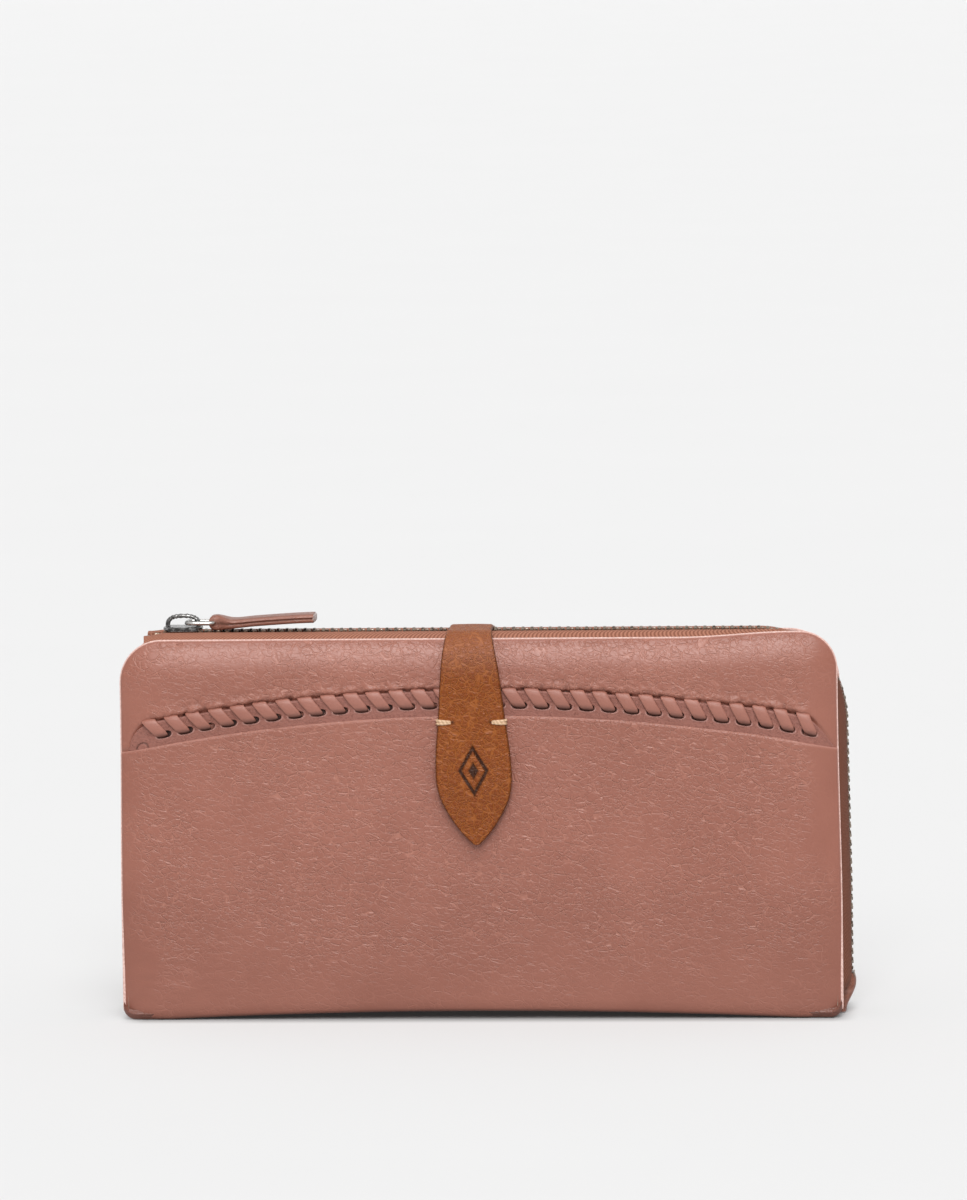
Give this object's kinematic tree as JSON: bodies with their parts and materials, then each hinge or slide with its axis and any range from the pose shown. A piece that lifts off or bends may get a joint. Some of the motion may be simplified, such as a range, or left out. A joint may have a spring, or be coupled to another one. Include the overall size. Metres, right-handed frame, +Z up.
{
  "type": "zip wallet",
  "caption": "Long leather wallet with an L-shaped zip over the top and one side, a laced front seam, a magnetic strap, card slots and a zipped coin pocket.",
  "frame": {"origin": "on the surface it stands on, below the middle of the wallet", "axes": "+X to the right of the front, along the long side; +Y from the front cover to the back cover; +Z up from the bottom fold to the zip"},
  "size_m": [0.193, 0.0297, 0.106],
  "materials": {
    "cover_leather": "soft pebbled nappa leather, dusty rose",
    "lace_leather": "smooth matt leather, slightly deeper rose",
    "trim_leather": "smooth leather with raw cut edges, dusty rose",
    "tan_leather": "waxed pebbled vegetable tanned leather, tan",
    "strap_backing": "thin suede backing, tan",
    "stitch_thread": "thick waxed cream thread",
    "board": "fibre stiffening board",
    "lining_cloth": "fine woven lining cloth, rose brown",
    "inner_leather": "smooth lining leather, dusty rose",
    "zip_cloth": "twill zip tape, warm rose brown",
    "zip_metal": "nickel plated teeth",
    "slider_metal": "polished nickel",
    "magnet_steel": "hidden magnet disc"
  },
  "bodies": {
    "back_shell": {"back_panel": "cover_leather", "back_board": "board", "back_lining": "lining_cloth", "bottom_fold": "cover_leather", "left_gusset": "lining_cloth", "zip_tape_back": "zip_cloth", "zip_teeth_back": "zip_metal", "zip_stop_back": "zip_metal", "zip_end_tab": "trim_leather", "zip_bottom_stop": "zip_metal", "strap_back": "tan_leather", "strap_back_stitches": "stitch_thread", "card_slot_back_1": "inner_leather", "card_slot_back_2": "inner_leather", "card_slot_back_3": "inner_leather", "card_slot_back_4": "inner_leather"},
    "front_cover": {"front_lower_panel": "cover_leather", "front_upper_panel": "cover_leather", "lace_strip": "lace_leather", "whip_lacing": "lace_leather", "front_board": "board", "front_lining": "lining_cloth", "front_magnet": "magnet_steel", "zip_tape_front": "zip_cloth", "zip_teeth_front": "zip_metal", "zip_stop_front": "zip_metal", "card_slot_front_1": "inner_leather", "card_slot_front_2": "inner_leather", "card_slot_front_3": "inner_leather", "card_slot_front_4": "inner_leather"},
    "strap": {"strap_flap": "tan_leather", "strap_lining": "strap_backing", "strap_magnet": "magnet_steel", "strap_edge_stitches": "stitch_thread"},
    "coin_pocket": {"coin_pocket_front": "lining_cloth", "coin_pocket_back": "lining_cloth", "coin_pocket_edge": "lining_cloth", "coin_zip_tape": "zip_cloth", "coin_zip_teeth": "zip_metal"},
    "coin_slider": {"coin_slider": "slider_metal"},
    "coin_pull": {"coin_pull": "trim_leather"},
    "zip_slider": {"slider_body": "slider_metal", "slider_bridge": "slider_metal"},
    "pull_ring": {"pull_ring": "slider_metal"},
    "pull_tab": {"pull_tab": "trim_leather"}
  },
  "joints": [
    {"name": "cover_open", "type": "hinge", "parent": "back_shell", "child": "front_cover", "pos_m": [0, -0.011, 0.0015], "axis": [1, 0, 0], "range_deg": [0, 30], "deforming": ["left_gusset"]},
    {"name": "strap_lift", "type": "hinge", "parent": "back_shell", "child": "strap", "pos_m": [0, 0.0126, 0.10175], "axis": [-1, 0, 0], "range_deg": [0, 180], "deforming": ["strap_flap", "strap_lining"]},
    {"name": "pocket_tilt", "type": "hinge", "parent": "back_shell", "child": "coin_pocket", "pos_m": [0, 0, 0.0044], "axis": [1, 0, 0], "range_deg": [0, 15]},
    {"name": "coin_zip_slide", "type": "slide", "parent": "coin_pocket", "child": "coin_slider", "axis": [1, 0, 0], "range_m": [0, 0.13]},
    {"name": "coin_pull_swing", "type": "hinge", "parent": "coin_slider", "child": "coin_pull", "pos_m": [-0.0635, 0, 0.07935], "axis": [0, -1, 0], "range_deg": [0, 150]},
    {"name": "zip_slide", "type": "slide", "parent": "back_shell", "child": "zip_slider", "axis": [1, 0, 0], "range_m": [0, 0.15]},
    {"name": "ring_swing", "type": "hinge", "parent": "zip_slider", "child": "pull_ring", "pos_m": [-0.079, 0, 0.104], "axis": [0, -1, 0], "range_deg": [0, 120]},
    {"name": "tab_swing", "type": "hinge", "parent": "pull_ring", "child": "pull_tab", "pos_m": [-0.0715, 0, 0.104], "axis": [0, -1, 0], "range_deg": [0, 60]}
  ],
  "couplings": [
    {"joint": "strap_lift", "follows": "cover_open", "ratio": 6},
    {"joint": "pocket_tilt", "follows": "cover_open", "ratio": 0.5}
  ]
}
